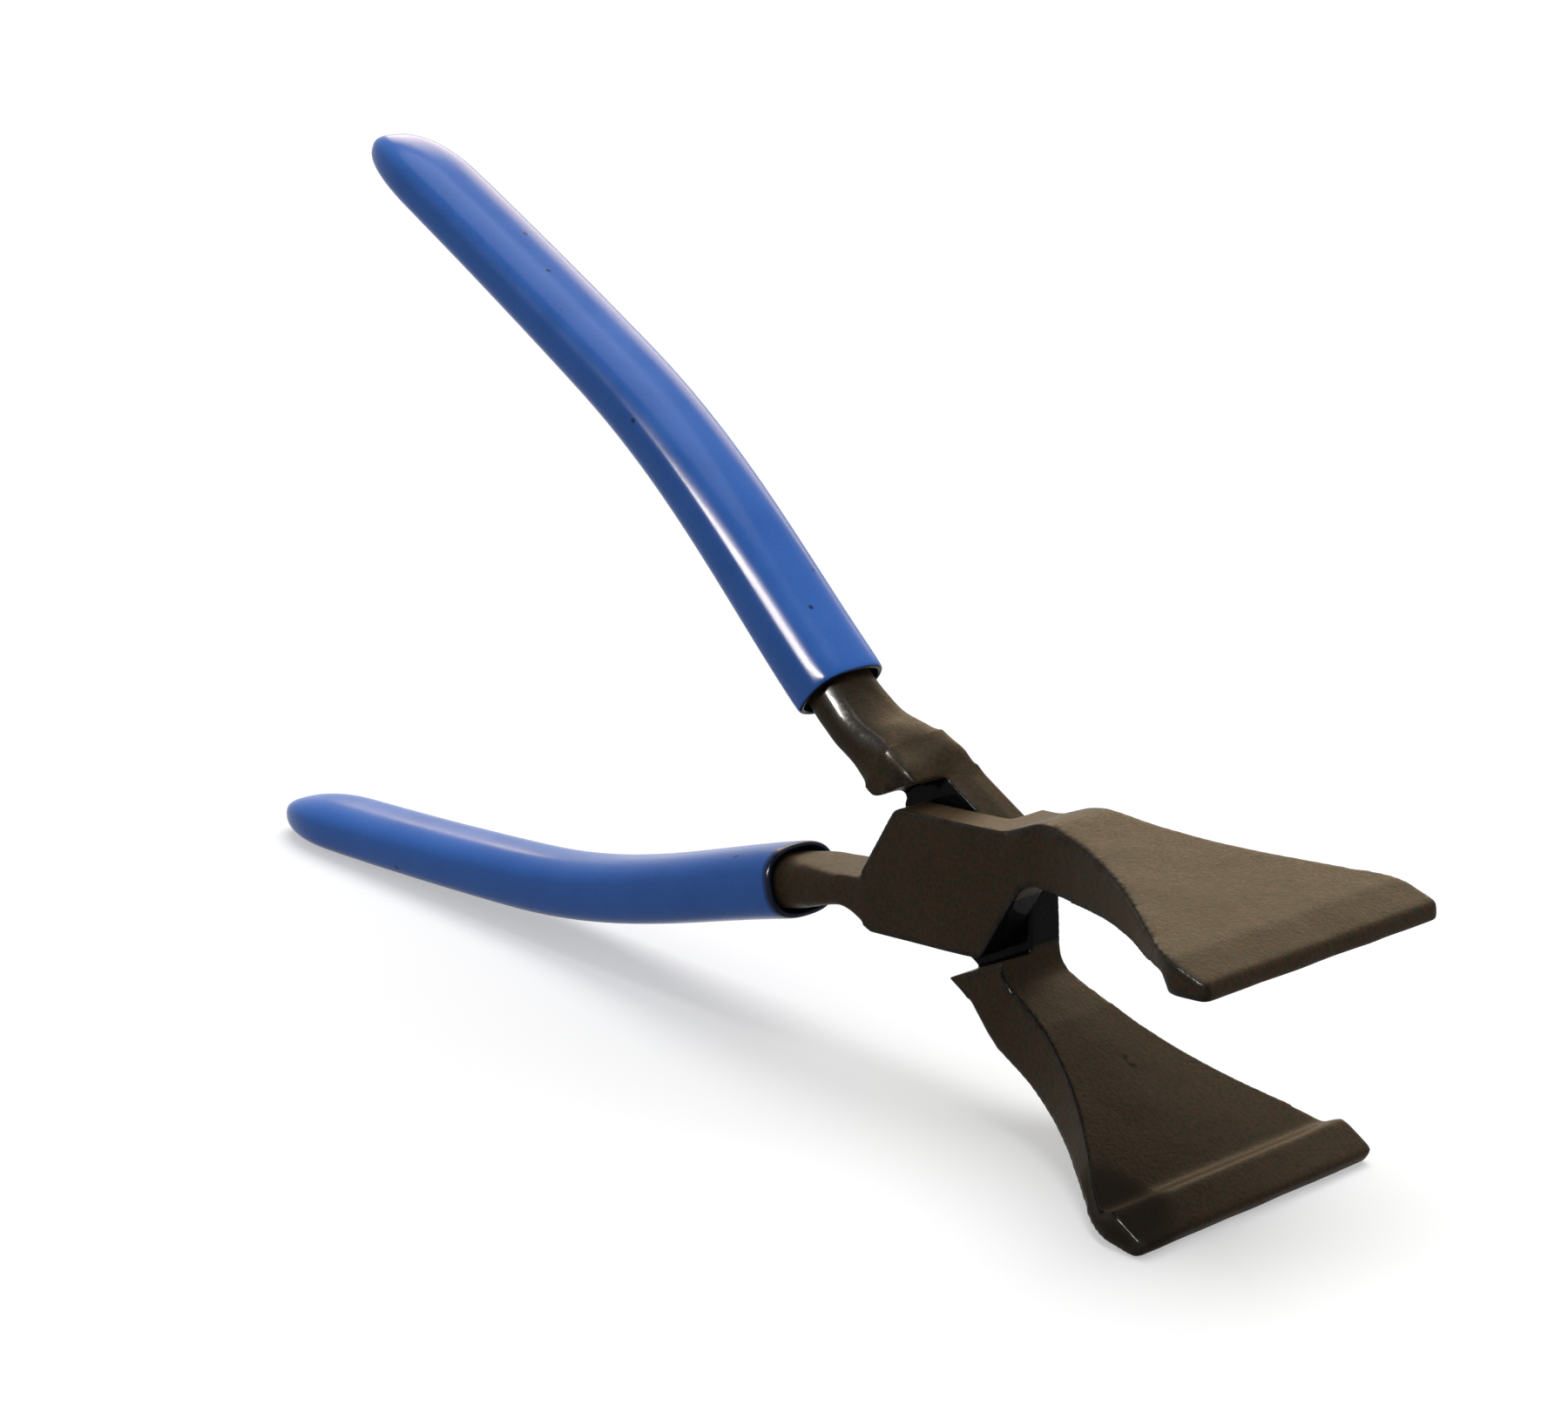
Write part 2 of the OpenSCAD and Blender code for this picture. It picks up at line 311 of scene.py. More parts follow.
def forge_skin(bm, seed):
    """Sinks the surface a little here and there, as hammer scale and paint leave a forging."""
    bm.normal_update()
    shift = Vector((seed, seed * 0.7, -seed))
    moves = []
    for v in bm.verts:
        p = v.co / MM
        broad = noise.noise(p * BROAD_SCALE + shift)
        dimple = noise.noise(p * DIMPLE_SCALE + shift)
        from_rivet = step(math.hypot(v.co.x, v.co.z), 7 * MM, 13 * MM)
        neck = step(-v.co.x, 17 * MM, 26 * MM)
        plain = BROAD_DEPTH * (1 + broad) + DIMPLE_DEPTH * (1 + dimple)
        depth = plain * from_rivet + NECK_DEPTH * (1 + dimple) * neck
        moves.append(v.normal * -depth * MM)
    for v, move in zip(bm.verts, moves):
        v.co += move


def fill_shoulder(bm):
    """Fills the outer notch between the joint plate and the neck, as the rear half shows it."""
    lowest = {}
    for v in bm.verts:
        x, y, z = v.co / MM
        if SHOULDER_FROM_X - 2 < x < SHOULDER_TO_X + 2 and -6 < y < 0:
            lowest[round(x)] = min(z, lowest.get(round(x), 0))
    for v in bm.verts:
        x, y, z = v.co / MM
        if SHOULDER_FROM_X < x < SHOULDER_TO_X and z < -1:
            left = math.floor(x)
            outer = lowest[left] + (lowest[left + 1] - lowest[left]) * (x - left)
            crown = CROWN * (1 - step(abs(x - CROWN_X), 1, 9)) * step(-y, -3, 4)
            lift = min(SHOULDER_Z - crown - outer, 0) * step(x, SHOULDER_FROM_X, SHOULDER_FULL_X)
            lift *= 1 - step(x, SHOULDER_FADE_X, SHOULDER_TO_X)
            beside = max(step(-y, 0.4, 4.5), step(-x, 14, 20))
            v.co.z += lift * beside * step(z / outer, 0.1, 0.95) * MM


def widen(values, verts, passes):
    """Spreads the high values of a list over the neighbouring points."""
    for _ in range(passes):
        spread = []
        for v in verts:
            own = values[v.index]
            beside = max(values[e.other_vert(v).index] for e in v.link_edges)
            spread.append(max(own, 0.6 * beside + 0.4 * own))
        values = spread
    return values


def mark_skin(bm, turned):
    """Marks each point: where the rear neck is glossy and painted darker as shade, how sharp its edge is, where
    shade is painted black in the lap, the throat and along edges, the painted shadow at the jaw's corner, the
    darker rear neck and the nick.
    """
    gloss_and_painted_shade = bm.verts.layers.float.new("gloss_and_painted_shade")
    edge = bm.verts.layers.float.new("edge")
    dark = bm.verts.layers.float.new("dark")
    black = bm.verts.layers.float.new("black")
    bm.normal_update()
    bm.verts.index_update()
    edges = []
    lines = []
    for v in bm.verts:
        x, y, z = v.co / MM
        normal = v.normal
        around = [e.other_vert(v).co for e in v.link_edges]
        bend = (v.co - sum(around, Vector()) / len(around)).dot(normal) / MM
        edges.append(step(bend, 0.003, 0.012) * step(abs(normal.y), 0.15, 0.4) * step(x, -24, -18))
        # Painted shade: the faces where the halves lap and the throat wall are marked black.
        lap = step(normal.y, 0.3, 0.7) * step(-abs(y), -1.4, -0.7) * step(-math.hypot(x, z), -27, -23)
        throat = step(normal.dot(THROAT_WALL), 0.4, 0.8)
        throat *= step(-abs(x - 10), -9, -7) * step(-abs(z + 7), -9, -7)
        # Painted shadow: a dark spot at the lower jaw's near front corner, under the upper jaw.
        shadow_spot = SHADOW_SPOT_DARK * step(-(v.co - SHADOW_SPOT).length / MM, -17, -7) if turned and normal.z < 0.1 else 0
        # One side of the rear neck: glossy, and its paint darkened as painted shade beside the highlight.
        v[gloss_and_painted_shade] = step(normal.dot(GLOSS_AND_SHADE_SIDE), 0.84, 0.96) * step(-x, 19, 26) if turned else 0
        neck = NECK_DARK * step(-x, 25, 33) if turned else 0
        on_nick = abs((v.co - NICK).length / MM - NICK_R) < NICK_W
        nick = NICK_DARK if turned and y > NICK.y / MM and on_nick else 0
        v[black] = max(lap, throat)
        v[dark] = max(v[black], shadow_spot, neck, nick)
        # Painted shade: a dark line along the lower jaw's inner edge and along the upper jaw's near back edge.
        if turned:
            line = y > 2 and 17 < x < 68 and normal.y > 0.45 and normal.z < -0.5
        else:
            line = y < -2 and 25 < x < 70 and normal.y < -0.55 and normal.z > 0.55
        lines.append(float(line and bend > LINE_BEND))
    painted_edge_shade = black if turned else dark
    for v, value, line in zip(bm.verts, widen(edges, bm.verts, 2), widen(lines, bm.verts, 1)):
        v[edge] = value
        v[painted_edge_shade] = max(v[painted_edge_shade], line)


def forged_half(name, node, place, seed, turned):
    """One half with rounded edges, from its own solid: the joint plate, arm and jaw, then the tang."""
    bm = bmesh.new()
    bm.from_mesh(frame["nodes"][node].data)
    bm.transform(place.inverted())
    bmesh.ops.remove_doubles(bm, verts=bm.verts, dist=WELD)
    plug = bmesh.ops.create_cone(
        bm,
        cap_ends=True,
        segments=48,
        radius1=HEAD_R + HOLE_MARGIN,
        radius2=HEAD_R + HOLE_MARGIN,
        depth=JOINT_T / 2 - 2 * PLUG_INSET,
    )
    seat = Matrix.Translation((0, -JOINT_T / 4 - PLUG_INSET, 0))
    turn = seat @ Matrix.Rotation(math.pi / 2, 4, "X")
    bmesh.ops.transform(bm, matrix=turn, verts=plug["verts"])
    half = object_of(name, bm)
    remesh = half.modifiers.new("one_skin", "REMESH")
    remesh.mode = "VOXEL"
    remesh.voxel_size = VOXEL
    bake_modifiers(half)

    bm = bmesh.new()
    bm.from_mesh(half.data)
    cut = section_frame(TANG_CUT_X)
    bmesh.ops.bisect_plane(
        bm,
        geom=bm.verts[:] + bm.edges[:] + bm.faces[:],
        dist=WELD,
        plane_co=cut.translation,
        plane_no=cut.to_3x3() @ Vector((1, 0, 0)),
        clear_outer=True,
    )
    inner = [v for v in bm.verts if not v.is_boundary]
    smooth(bm, inner, EDGE_PASSES)
    backs = [
        v
        for v in inner
        if BACK_FROM_X < v.co.x < NOSE_FROM_X and v.co.z > BACK_SHARE * back_line(v.co.x)
    ]
    smooth(bm, backs, BACK_PASSES)
    smooth(bm, [v for v in inner if v.co.x > NOSE_FROM_X - 2 * MM], NOSE_PASSES)
    smooth(bm, [v for v in inner if v.co.x < -20 * MM], NECK_PASSES)
    if turned:
        fill_shoulder(bm)
        smooth(bm, [v for v in inner if -36 * MM < v.co.x < -15 * MM and v.co.z < -6 * MM], NECK_PASSES)
        smooth(bm, [v for v in inner if v.co.x < -24 * MM], 3 * NECK_PASSES)
    forge_skin(bm, seed)
    mark_skin(bm, turned)
    extrude_tang(bm)
    bm.to_mesh(half.data)
    bm.free()

    cutter = hole_cutter()
    drill = half.modifiers.new("rivet_hole", "BOOLEAN")
    drill.operation = "DIFFERENCE"
    drill.solver = "MANIFOLD"
    drill.object = cutter
    bake_modifiers(half)
    bpy.data.objects.remove(cutter)
    half.data.transform(place)
    half.data.shade_smooth()
    half.data.set_sharp_from_angle(angle=SHARP_ANGLE)
    return half


def extrude_tang(bm):
    """Runs the open end of the neck on through the sleeve as a plain tang, and closes it."""
    start_width, start_height = tang_size(TANG_CUT_X)
    here = section_frame(TANG_CUT_X)
    for i in range(1, TANG_STATIONS + 1):
        x = TANG_CUT_X + (TANG_END_X - TANG_CUT_X) * i / TANG_STATIONS
        width, height = tang_size(x)
        there = section_frame(x) @ Matrix.Diagonal((1, width / start_width, height / start_height, 1))
        grown = bmesh.ops.extrude_edge_only(bm, edges=open_rim(bm))["geom"]
        verts = [g for g in grown if isinstance(g, bmesh.types.BMVert)]
        bmesh.ops.transform(bm, matrix=there @ here.inverted(), verts=verts)
        here = there
    bmesh.ops.holes_fill(bm, edges=open_rim(bm), sides=0)


def sleeve_stations():
    """Rings from the bore's closed end to the rim, over the lip and along the outside to the dome's tip."""
    stations = []

    def ring(x, grow, distance):
        width, height = tang_size(x)
        stations.append((x, width + 2 * grow, height + 2 * grow, distance))

    for i in range(BORE_RINGS + 1):
        x = BORE_END_X + (RIM_X + RIM_LIP - BORE_END_X) * i / BORE_RINGS
        flare = FLARE * step(RIM_X + FLARE_LEN - x, 0, FLARE_LEN)
        ring(x, SLEEVE_GAP + flare, RIM_X - x)
    ring(RIM_X + 0.2 * MM, SLEEVE_GAP + 0.45 * MM, -0.3 * MM)
    ring(RIM_X, SLEEVE_GAP + SLEEVE_WALL / 2, 0)
    ring(RIM_X + 0.2 * MM, SLEEVE_GAP + SLEEVE_WALL - 0.25 * MM, 0.4 * MM)
    dome_x = TIP_X - DOME_LEN
    for i in range(OUTSIDE_RINGS + 1):
        x = RIM_X + RIM_LIP + (dome_x - RIM_X - RIM_LIP) * i / OUTSIDE_RINGS
        ring(x, SLEEVE_GAP + SLEEVE_WALL, x - RIM_X)
    _, width, height, _ = stations[-1]
    for i in range(1, DOME_RINGS + 1):
        angle = DOME_ANGLE * i / DOME_RINGS
        x = dome_x + DOME_LEN * math.sin(angle)
        stations.append((x, width * math.cos(angle), height * math.cos(angle), x - RIM_X))
    return stations


def dipped_sleeve(name, place, shade_rim_width, blunt):
    """Blue sleeve: one closed skin with its bore, its rolled rim and its domed end; the bore and the rim are
    painted black as shade.

    The higher the value of blunt, the blunter the end, most of all on its inner side.
    """
    bm = bmesh.new()
    turn = bm.verts.layers.float.new("turn")
    dip = bm.verts.layers.float.new("dip")
    ring = bmesh.ops.create_circle(bm, segments=RING_SIDES, radius=1)["verts"]
    for v in ring:
        v[turn] = math.atan2(v.co.y, v.co.x)
    open_edges = bm.edges[:]
    for i, (x, width, height, distance) in enumerate(sleeve_stations()):
        if i > 0:
            grown = bmesh.ops.extrude_edge_only(bm, edges=open_edges)["geom"]
            ring = [g for g in grown if isinstance(g, bmesh.types.BMVert)]
            chosen = set(ring)
            open_edges = [
                g for g in grown if isinstance(g, bmesh.types.BMEdge) and chosen.issuperset(g.verts)
            ]
        section = section_frame(x)
        for v in ring:
            y, z = oval(v[turn], width, height)
            if x > TIP_X - DOME_LEN:
                fullness = height / full_height
                z = z * (fullness ** -blunt if z > 0 else 1) + TIP_SHIFT * blunt * (1 - fullness)
                y *= fullness ** (-blunt / 2)
            else:
                full_height = height
            v.co = section @ Vector((0, y, z))
            v[dip] = distance / shade_rim_width
    bmesh.ops.holes_fill(bm, edges=open_rim(bm), sides=0)
    caps = [f for f in bm.faces if len(f.verts) > 4]
    bmesh.ops.poke(bm, faces=caps)
    bmesh.ops.recalc_face_normals(bm, faces=bm.faces)
    sleeve = object_of(name, bm)
    rounding = sleeve.modifiers.new("rounding", "SUBSURF")
    rounding.levels = 2
    rounding.render_levels = 2
    bake_modifiers(sleeve)
    sleeve.data.transform(place)
    sleeve.data.shade_smooth()
    return sleeve


# Material helpers

def add(tree, kind, settings=None, **inputs):
    """New node with its settings, its plain values and its links in one call."""
    made = tree.nodes.new(kind)
    for name, value in (settings or {}).items():
        setattr(made, name, value)
    for name, value in inputs.items():
        feed(tree, made.inputs[name.replace("_", " ")], value)
    return made


def feed(tree, socket, value):
    """Links a socket to another one, or sets its plain value."""
    if isinstance(value, bpy.types.NodeSocket):
        tree.links.new(value, socket)
    else:
        socket.default_value = value


def maths(tree, operation, first, second):
    made = tree.nodes.new("ShaderNodeMath")
    made.operation = operation
    feed(tree, made.inputs[0], first)
    feed(tree, made.inputs[1], second)
    return made.outputs[0]


def times(tree, first, second):
    return maths(tree, "MULTIPLY", first, second)


def remap(tree, value, low, high, to_low=0.0, to_high=1.0):
    made = add(
        tree,
        "ShaderNodeMapRange",
        Value=value,
        From_Min=low,
        From_Max=high,
        To_Min=to_low,
        To_Max=to_high,
    )
    return made.outputs["Result"]


def mix_colours(tree, factor, first, second):
    made = tree.nodes.new("ShaderNodeMix")
    made.data_type = "RGBA"
    feed(tree, made.inputs["Factor"], factor)
    feed(tree, made.inputs[6], first)
    feed(tree, made.inputs[7], second)
    return made.outputs[2]


def noise_field(tree, vector, scale, detail, roughness=0.5):
    made = add(
        tree,
        "ShaderNodeTexNoise",
        Vector=vector,
        Scale=scale,
        Detail=detail,
        Roughness=roughness,
    )
    return made.outputs["Fac"]


def new_group(name, inputs, outputs):
    """Shader node group with float inputs, given as name and value, and float outputs."""
    tree = bpy.data.node_groups.new(name, "ShaderNodeTree")
    for label, value in inputs.items():
        socket = tree.interface.new_socket(label, in_out="INPUT", socket_type="NodeSocketFloat")
        socket.default_value = value
    for label in outputs:
        tree.interface.new_socket(label, in_out="OUTPUT", socket_type="NodeSocketFloat")
    return tree, tree.nodes.new("NodeGroupInput"), tree.nodes.new("NodeGroupOutput")


def fine_grain_group():
    """Speckle of a given grain size in millimetres, with broader patches."""
    sizes = {"Grain mm": 0.3, "Patch mm": 9.0}
    tree, given, result = new_group("fine_grain", sizes, ["Speckle", "Patches"])
    place = add(tree, "ShaderNodeTexCoord").outputs["Object"]
    grain_scale = maths(tree, "DIVIDE", 1000, given.outputs["Grain mm"])
    patch_scale = maths(tree, "DIVIDE", 1000, given.outputs["Patch mm"])
    speckle = noise_field(tree, place, grain_scale, 3, 0.6)
    patches = noise_field(tree, place, patch_scale, 3, 0.55)
    tree.links.new(remap(tree, speckle, 0.3, 0.7), result.inputs["Speckle"])
    tree.links.new(remap(tree, patches, 0.3, 0.7), result.inputs["Patches"])
    return tree


def edge_wear_group():
    """A marked edge broken up by noise, so that it comes and goes along its length."""
    tree, given, result = new_group("edge_wear", {"Edge": 0.0, "Break mm": 1.5}, ["Worn"])
    place = add(tree, "ShaderNodeTexCoord").outputs["Object"]
    broken = noise_field(tree, place, maths(tree, "DIVIDE", 1000, given.outputs["Break mm"]), 4, 0.6)
    worn = times(tree, given.outputs["Edge"], remap(tree, broken, 0.35, 0.6))
    tree.links.new(worn, result.inputs["Worn"])
    return tree


def scratches_group():
    """Thin scattered lines: cells stretched along one direction, of which few are kept."""
    tree, given, result = new_group("scratches", {"Spacing mm": 14.0, "Turn": 0.6}, ["Scratch"])
    place = add(tree, "ShaderNodeTexCoord").outputs["Object"]
    scale = maths(tree, "DIVIDE", 1000, given.outputs["Spacing mm"])
    turned = add(
        tree,
        "ShaderNodeVectorRotate",
        {"rotation_type": "AXIS_ANGLE"},
        Vector=place,
        Axis=(0.3, 0.8, 0.5),
        Angle=given.outputs["Turn"],
    ).outputs[0]
    stretched = add(tree, "ShaderNodeVectorMath", {"operation": "MULTIPLY"})
    tree.links.new(turned, stretched.inputs[0])
    stretched.inputs[1].default_value = (1.0, 9.0, 9.0)
    cells = add(
        tree,
        "ShaderNodeTexVoronoi",
        {"feature": "F1"},
        Vector=stretched.outputs[0],
        Scale=scale,
        Randomness=1.0,
    )
    near = remap(tree, cells.outputs["Distance"], 0.035, 0.012)
    tree.links.new(near, result.inputs["Scratch"])
    return tree


GRAIN = fine_grain_group()
EDGE_WEAR = edge_wear_group()
SCRATCHES = scratches_group()


def use_group(tree, group, **inputs):
    made = tree.nodes.new("ShaderNodeGroup")
    made.node_tree = group
    for name, value in inputs.items():
        made.inputs[name.replace("_", " ")].default_value = value
    return made


def new_material(name):
    material = bpy.data.materials.new(name)
    material.use_nodes = True
    tree = material.node_tree
    tree.nodes.clear()
    shader = tree.nodes.new("ShaderNodeBsdfPrincipled")
    output = tree.nodes.new("ShaderNodeOutputMaterial")
    tree.links.new(shader.outputs["BSDF"], output.inputs["Surface"])
    return material, tree, shader


def forge_paint():
    """Satin brown-black paint over steel: grainy, with a nick and a darker rear neck, painted shade in black along
    edges, where the halves lap, in the throat and at the jaw's corner, glossy on edges, and glossy with painted
    shade on one side of the rear neck.
    """
    material, tree, shader = new_material("forge_paint")
    place = add(tree, "ShaderNodeTexCoord").outputs["Object"]
    grain = use_group(tree, GRAIN, Grain_mm=0.7, Patch_mm=11.0)
    scratch = use_group(tree, SCRATCHES, Spacing_mm=17.0).outputs["Scratch"]
    gloss_and_painted_shade = add(tree, "ShaderNodeAttribute", {"attribute_name": "gloss_and_painted_shade"}).outputs["Fac"]
    edge = add(tree, "ShaderNodeAttribute", {"attribute_name": "edge"}).outputs["Fac"]
    dark = add(tree, "ShaderNodeAttribute", {"attribute_name": "dark"}).outputs["Fac"]
    speckle = grain.outputs["Speckle"]
    patches = grain.outputs["Patches"]

    hue = remap(tree, noise_field(tree, place, 1100, 3, 0.7), 0.42, 0.58)
    paint = mix_colours(tree, hue, (0.050, 0.0195, 0.0085, 1), (0.0125, 0.0160, 0.0080, 1))
    paint = mix_colours(tree, times(tree, patches, 0.35), paint, (0.011, 0.0085, 0.0052, 1))
    paint = mix_colours(tree, times(tree, speckle, 0.55), paint, (0.052, 0.038, 0.022, 1))
    # Painted shade on the glossy side of the rear neck.
    paint = mix_colours(tree, times(tree, gloss_and_painted_shade, 0.8), paint, (0.0045, 0.0032, 0.0032, 1))
    paint = mix_colours(tree, times(tree, scratch, 0.5), paint, (0.16, 0.13, 0.10, 1))
    # Painted shade: rounded edges darkened towards black.
    painted_edge_shade = times(tree, edge, remap(tree, speckle, 0, 1, 0.85, 0.6))
    black = maths(tree, "MAXIMUM", painted_edge_shade, times(tree, dark, 0.95))
    paint = mix_colours(tree, black, paint, (0.0012, 0.0012, 0.0016, 1))
    tree.links.new(paint, shader.inputs["Base Color"])

    satin = remap(tree, speckle, 0, 1, 0.38, 0.52)
    satin = maths(tree, "SUBTRACT", satin, times(tree, gloss_and_painted_shade, 0.15))
    satin = maths(tree, "MAXIMUM", satin, times(tree, dark, 0.95))
    tree.links.new(satin, shader.inputs["Roughness"])
    shader.inputs["Specular IOR Level"].default_value = 0.05
    shader.inputs["Specular Tint"].default_value = (1.0, 0.82, 0.6, 1)
    shader.inputs["Sheen Weight"].default_value = 0.08
    shader.inputs["Sheen Roughness"].default_value = 0.4
    shader.inputs["Sheen Tint"].default_value = (1.0, 0.72, 0.45, 1)
    wear = use_group(tree, EDGE_WEAR, Break_mm=3.0)
    tree.links.new(edge, wear.inputs["Edge"])
    bright = times(tree, wear.outputs["Worn"], 0.12)
    gloss = maths(tree, "MAXIMUM", times(tree, gloss_and_painted_shade, 0.45), bright)
    tree.links.new(gloss, shader.inputs["Coat Weight"])
    shader.inputs["Coat Roughness"].default_value = 0.16

    lumps = times(tree, gloss_and_painted_shade, remap(tree, noise_field(tree, place, 900, 1), 0.3, 0.7, 0, 1.6))
    height = maths(tree, "ADD", times(tree, speckle, maths(tree, "SUBTRACT", 1, gloss_and_painted_shade)), lumps)
    height = maths(tree, "SUBTRACT", height, scratch)
    bump = add(tree, "ShaderNodeBump", Height=height, Distance=0.00007, Strength=0.5)
    tree.links.new(bump.outputs["Normal"], shader.inputs["Normal"])
    return material


def painted_shade_black():
    """Painted shade: black where the halves lap, in the throat and along the lower jaw's edge, with fine grain."""
    material, tree, shader = new_material("painted_shade_black")
    grain = use_group(tree, GRAIN, Grain_mm=0.8, Patch_mm=6.0)
    speckle = grain.outputs["Speckle"]
    paint = mix_colours(tree, speckle, (0.0015, 0.0015, 0.002, 1), (0.005, 0.0045, 0.004, 1))
    tree.links.new(paint, shader.inputs["Base Color"])
    tree.links.new(remap(tree, grain.outputs["Patches"], 0, 1, 0.35, 0.6), shader.inputs["Roughness"])
    shader.inputs["Specular IOR Level"].default_value = 0.01
    shader.inputs["Coat Weight"].default_value = 0.06
    shader.inputs["Coat Roughness"].default_value = 0.08
    bump = add(tree, "ShaderNodeBump", Height=speckle, Distance=0.0001, Strength=0.8)
    tree.links.new(bump.outputs["Normal"], shader.inputs["Normal"])
    return material


def dipped_vinyl():
    """Glossy blue plastic dip with painted shade in its bore and on its rim, faint mottling, specks and a few
    scratches.
    """
    material, tree, shader = new_material("dipped_vinyl")
    grain = use_group(tree, GRAIN, Grain_mm=0.5, Patch_mm=14.0)
    speckle = grain.outputs["Speckle"]
    patches = grain.outputs["Patches"]
    scratch = use_group(tree, SCRATCHES, Spacing_mm=23.0, Turn=1.3).outputs["Scratch"]
    dip = add(tree, "ShaderNodeAttribute", {"attribute_name": "dip"}).outputs["Fac"]
    # Painted shade: the bore and the rim darkened to black.
    rim = remap(tree, dip, 1, 0.7)

    blue = mix_colours(tree, patches, (0.026, 0.125, 0.480, 1), (0.036, 0.150, 0.540, 1))
    blue = mix_colours(tree, times(tree, speckle, 0.25), blue, (0.070, 0.200, 0.600, 1))
    place = add(tree, "ShaderNodeTexCoord").outputs["Object"]
    dots = add(tree, "ShaderNodeTexVoronoi", {"feature": "F1"}, Vector=place, Scale=75.0, Randomness=1.0)
    speck = remap(tree, dots.outputs["Distance"], 0.05, 0.03)
    blue = mix_colours(tree, times(tree, speck, 0.8), blue, (0.006, 0.012, 0.04, 1))
    blue = mix_colours(tree, times(tree, scratch, 0.45), blue, (0.3, 0.4, 0.62, 1))
    blue = mix_colours(tree, times(tree, rim, 0.95), blue, (0.003, 0.006, 0.014, 1))
    tree.links.new(blue, shader.inputs["Base Color"])

    rough = remap(tree, patches, 0, 1, 0.19, 0.26)
    tree.links.new(rough, shader.inputs["Roughness"])
    shader.inputs["Specular IOR Level"].default_value = 0.08
    shader.inputs["Specular Tint"].default_value = (1.0, 0.86, 0.75, 1)
    shader.inputs["Coat Weight"].default_value = 0.04
    shader.inputs["Coat Roughness"].default_value = 0.12

    waves = add(tree, "ShaderNodeTexNoise", Vector=place, Scale=260.0, Detail=1.0).outputs["Fac"]
    height = maths(tree, "SUBTRACT", waves, times(tree, scratch, 0.6))
    bump = add(tree, "ShaderNodeBump", Height=height, Distance=0.00006, Strength=0.25)
    tree.links.new(bump.outputs["Normal"], shader.inputs["Normal"])
    return material


# Floor, lights and camera

def seen_rays(tree):
    """1 where a ray comes from the camera or a glossy or clear surface, 0 where it gathers soft light."""
    rays = tree.nodes.new("ShaderNodeLightPath")
    seen = maths(tree, "MAXIMUM", rays.outputs["Is Camera Ray"], rays.outputs["Is Glossy Ray"])
    return maths(tree, "MAXIMUM", seen, rays.outputs["Is Transmission Ray"])


def studio_floor():
    """Pale floor: white to the eye and in reflections, and less bright in what it throws on the tool."""
    bm = bmesh.new()
    bmesh.ops.create_grid(bm, x_segments=1, y_segments=1, size=6)
    floor = object_of("floor", bm)
    material, tree, shader = new_material("pale_floor")
    pale = mix_colours(tree, seen_rays(tree), (0.35, 0.35, 0.35, 1), (0.62, 0.62, 0.62, 1))
    tree.links.new(pale, shader.inputs["Base Color"])
    shader.inputs["Roughness"].default_value = 0.9
    shader.inputs["Specular IOR Level"].default_value = 0.1
    shader.inputs["Emission Color"].default_value = (1, 1, 1, 1)
    tree.links.new(times(tree, seen_rays(tree), 0.44), shader.inputs["Emission Strength"])
    floor.data.materials.append(material)


def studio_world():
    """Even ambient light on surfaces, and plain white for the camera and for reflections."""
    world = bpy.data.worlds.new("studio")
    bpy.context.scene.world = world
    world.use_nodes = True
    tree = world.node_tree
    tree.nodes.clear()
    ambient = add(tree, "ShaderNodeBackground", Color=(1, 1, 1, 1), Strength=0.3)
    white = add(tree, "ShaderNodeBackground", Color=(1, 1, 1, 1), Strength=1.0)
    either = tree.nodes.new("ShaderNodeMixShader")
    tree.links.new(seen_rays(tree), either.inputs[0])
    tree.links.new(ambient.outputs[0], either.inputs[1])
    tree.links.new(white.outputs[0], either.inputs[2])
    output = tree.nodes.new("ShaderNodeOutputWorld")
    tree.links.new(either.outputs[0], output.inputs["Surface"])


def lamp(name, kind, energy, place, target, roll=0.0, only_gloss=False, **settings):
    """Lamp aimed at a target. One that is only for gloss shows in reflections and adds no soft light."""
    data = bpy.data.lights.new(name, kind)
    data.energy = energy
    for key, value in settings.items():
        setattr(data, key, value)
    made = bpy.data.objects.new(name, data)
    bpy.context.scene.collection.objects.link(made)
    made.visible_camera = False
    made.visible_diffuse = not only_gloss
    aim = (Vector(target) - Vector(place)).to_track_quat("-Z", "Y").to_matrix().to_4x4()
    made.matrix_world = Matrix.Translation(place) @ aim @ Matrix.Rotation(roll, 4, "Z")


def studio_lights():
    """Soft light from above, a broad warm sheen from low behind and a slanted strip from the front."""
    lamp("sky", "SUN", 2.15, (-0.2, 0.5, 2.0), (0, 0, 0), angle=math.radians(50))
    lamp(
        "back_sheen",
        "AREA",
        16.5,
        PIVOT + 1.6 * Vector((-0.52, 0.72, 0.455)),
        PIVOT,
        only_gloss=True,
        shape="RECTANGLE",
        size=1.3,
        size_y=0.75,
        color=(1.0, 0.76, 0.45),
    )
    lamp(
        "front_strip",
        "AREA",
        90.0,
        PIVOT + 1.2 * Vector((0.05, -0.78, 0.60)),
        PIVOT,
        roll=math.radians(36),
        only_gloss=True,
        shape="RECTANGLE",
        size=0.9,
        size_y=0.14,
    )


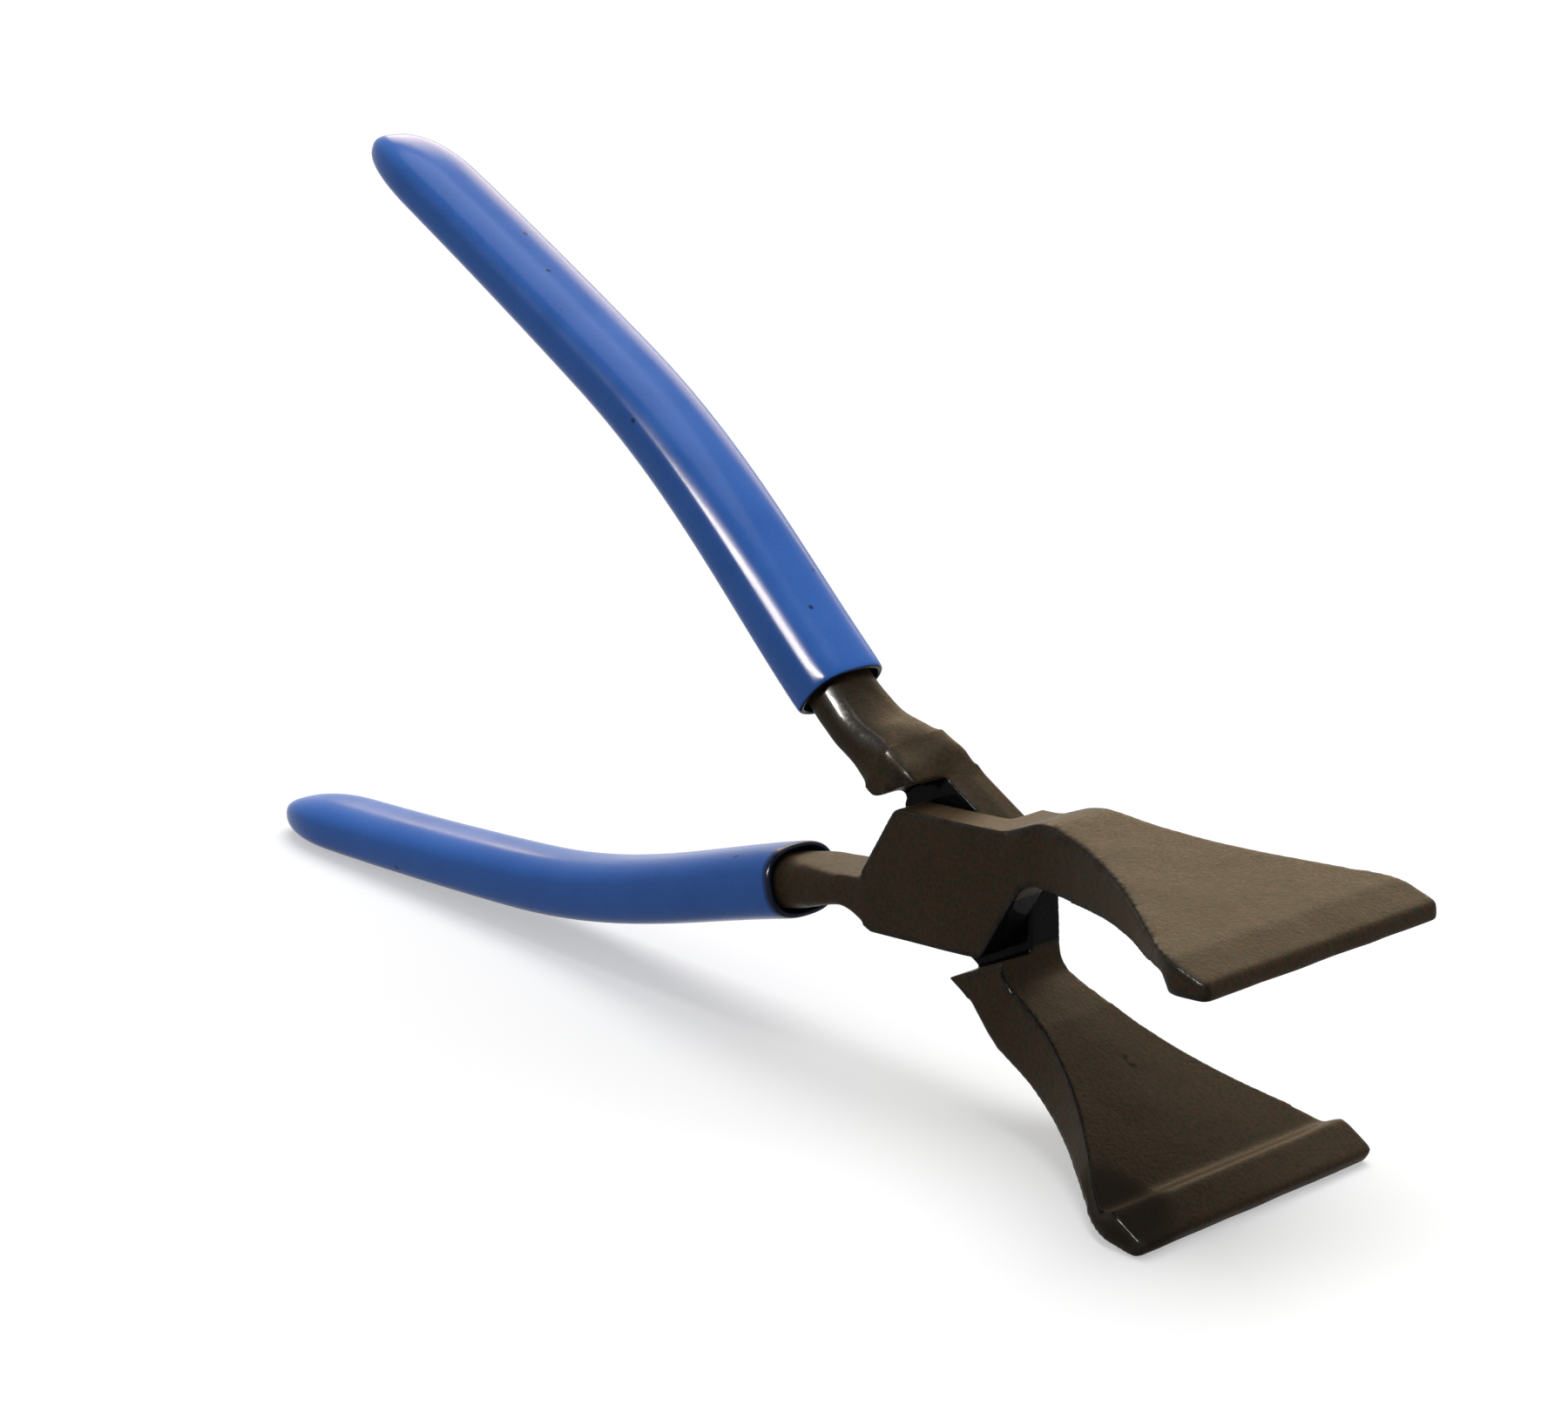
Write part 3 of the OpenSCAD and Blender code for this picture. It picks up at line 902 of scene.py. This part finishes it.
def photo_camera():
    """Camera at the photograph's place, with its viewing angle and its slight roll."""
    data = bpy.data.cameras.new("camera")
    data.sensor_width = SENSOR
    data.lens = FOCAL_PIXELS / IMAGE_WIDTH * SENSOR
    data.clip_start = 0.01
    camera = bpy.data.objects.new("camera", data)
    bpy.context.scene.collection.objects.link(camera)
    forward = Vector((
        -math.sin(CAMERA_AZIMUTH) * math.cos(CAMERA_ELEVATION),
        math.cos(CAMERA_AZIMUTH) * math.cos(CAMERA_ELEVATION),
        -math.sin(CAMERA_ELEVATION),
    ))
    turn = forward.to_track_quat("-Z", "Y").to_matrix().to_4x4() @ Matrix.Rotation(CAMERA_ROLL, 4, "Z")
    camera.matrix_world = Matrix.Translation(CAMERA_PLACE) @ turn
    bpy.context.scene.camera = camera


def blacken_faces(half):
    """Gives the marked black faces of a half, where shade is painted, the second of its two materials."""
    mask = half.data.attributes["black"].data
    for face in half.data.polygons:
        inside = sum(mask[i].value for i in face.vertices) / len(face.vertices)
        face.material_index = 1 if inside > 0.5 else 0


def add_piece(piece, materials, body, node):
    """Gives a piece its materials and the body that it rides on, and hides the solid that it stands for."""
    piece.data.materials.clear()
    for material in materials:
        piece.data.materials.append(material)
    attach(piece, body)
    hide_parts(node)


# The scene

photo_camera()
studio_world()
studio_lights()
studio_floor()

PAINT = forge_paint()
SHADE_BLACK = painted_shade_black()
VINYL = dipped_vinyl()

front_forging = forged_half("front_forging", "front_half", FRONT_PLACE, 3.1, False)
rear_forging = forged_half("rear_forging", "rear_half", REAR_PLACE, 11.7, True)
add_piece(front_forging, [PAINT, SHADE_BLACK], "front_arm", "front_half")
add_piece(rear_forging, [PAINT, SHADE_BLACK], "rear_arm", "rear_half")
blacken_faces(front_forging)
blacken_faces(rear_forging)

front_sleeve = dipped_sleeve("front_sleeve", FRONT_PLACE, 0.8 * MM, 0.0)
rear_sleeve = dipped_sleeve("rear_sleeve", REAR_PLACE, 0.5 * MM, 0.4)
add_piece(front_sleeve, [VINYL], "front_arm", "front_grip")
add_piece(rear_sleeve, [VINYL], "rear_arm", "rear_grip")

rivet = frame["nodes"]["pivot_rivet"]
rivet.data.materials.clear()
rivet.data.materials.append(PAINT)

bpy.context.scene.view_settings.view_transform = "Standard"
